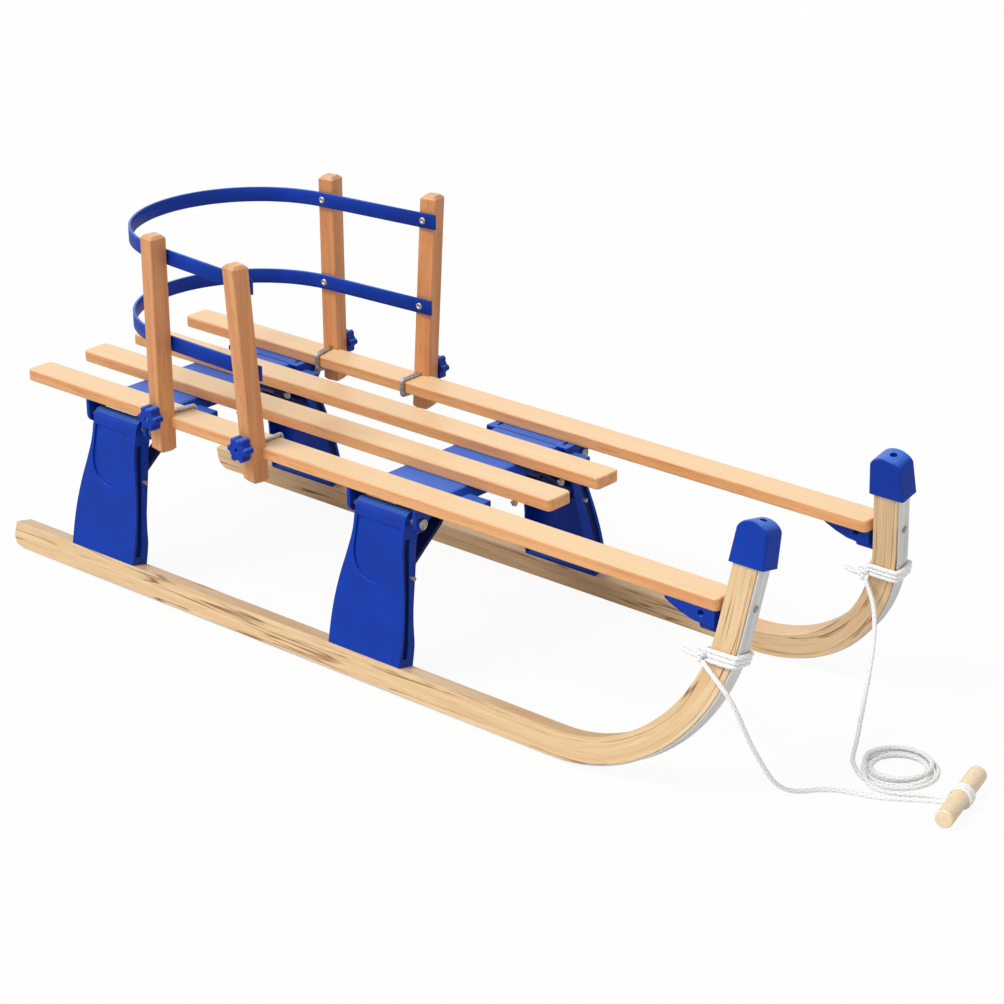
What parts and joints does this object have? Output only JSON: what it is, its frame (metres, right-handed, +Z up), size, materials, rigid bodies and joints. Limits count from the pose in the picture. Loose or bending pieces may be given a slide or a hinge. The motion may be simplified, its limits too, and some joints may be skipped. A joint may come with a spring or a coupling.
{
  "type": "folding wooden sled",
  "caption": "Folding wooden sled: slatted seat, curved runners with horns that fold under it, clamped backrest and tow rope.",
  "frame": {"origin": "middle of the sled, without its tow rope, on the floor", "axes": "+X forward, the way it is pulled; +Y left; +Z up"},
  "size_m": [1.2785, 0.3954, 0.458],
  "materials": {
    "seat_wood": "clear varnish",
    "runner_wood": "clear varnish",
    "blue_plastic": "moulded",
    "dark_plastic": "moulded",
    "band_steel": "bare",
    "zinc": "zinc plated",
    "handle_wood": "bare",
    "rope": "braided"
  },
  "bodies": {
    "root": {"slat_outer_near": "seat_wood", "slat_outer_far": "seat_wood", "slat_inner_near": "seat_wood", "slat_inner_far": "seat_wood", "bridge_front": "blue_plastic", "bridge_rear": "blue_plastic", "bridge_pins_front": "zinc", "bridge_pins_rear": "zinc", "fold_pins_near": "zinc", "fold_pins_far": "zinc", "gusset_near": "blue_plastic", "gusset_far": "blue_plastic", "pivot_bolt_near": "zinc", "pivot_bolt_far": "zinc", "rope_lead_near": "rope", "rope_lead_far": "rope", "rope_coil": "rope", "rope_handle": "handle_wood", "rope_handle_turns": "rope"},
    "side_near": {"runner_near": "runner_wood", "steel_band_near": "band_steel", "cap_near": "blue_plastic", "leg_front_near": "blue_plastic", "leg_rear_near": "blue_plastic", "brace_pins_near": "zinc", "rope_wrap_near": "rope"},
    "braces_near": {"brace_front_near": "dark_plastic", "brace_rear_near": "dark_plastic"},
    "side_far": {"runner_far": "runner_wood", "steel_band_far": "band_steel", "cap_far": "blue_plastic", "leg_front_far": "blue_plastic", "leg_rear_far": "blue_plastic", "brace_pins_far": "zinc", "rope_wrap_far": "rope"},
    "braces_far": {"brace_front_far": "dark_plastic", "brace_rear_far": "dark_plastic"},
    "backrest": {"rail_upper": "seat_wood", "rail_lower": "seat_wood", "rail_bolts": "zinc", "post_front_near": "seat_wood", "post_front_far": "seat_wood", "post_rear_near": "seat_wood", "post_rear_far": "seat_wood", "hook_front_near": "zinc", "hook_front_far": "zinc", "hook_rear_near": "zinc", "hook_rear_far": "zinc", "knob_front_near": "blue_plastic", "knob_front_far": "blue_plastic", "knob_rear_near": "blue_plastic", "knob_rear_far": "blue_plastic"}
  },
  "joints": [
    {"name": "fold_near", "type": "hinge", "parent": "root", "child": "side_near", "pos_m": [0, -0.13803, 0.19303], "axis": [1, 0, 0], "range_deg": [0, 95], "deforming": ["rope_lead_near"]},
    {"name": "fold_far", "type": "hinge", "parent": "root", "child": "side_far", "pos_m": [0, 0.13803, 0.19303], "axis": [-1, 0, 0], "range_deg": [0, 70], "deforming": ["rope_lead_far"]},
    {"name": "brace_near", "type": "hinge", "parent": "side_near", "child": "braces_near", "pos_m": [0, -0.14823, 0.1298], "axis": [-1, 0, 0], "range_deg": [0, 140]},
    {"name": "brace_far", "type": "hinge", "parent": "side_far", "child": "braces_far", "pos_m": [0, 0.14823, 0.1298], "axis": [1, 0, 0], "range_deg": [0, 140]},
    {"name": "backrest_slide", "type": "slide", "parent": "root", "child": "backrest", "axis": [1, 0, 0], "range_m": [0, 0.08]}
  ],
  "couplings": [
    {"joint": "brace_near", "follows": "fold_near", "ratio": 1.4705},
    {"joint": "brace_far", "follows": "fold_far", "ratio": 1.9957}
  ]
}
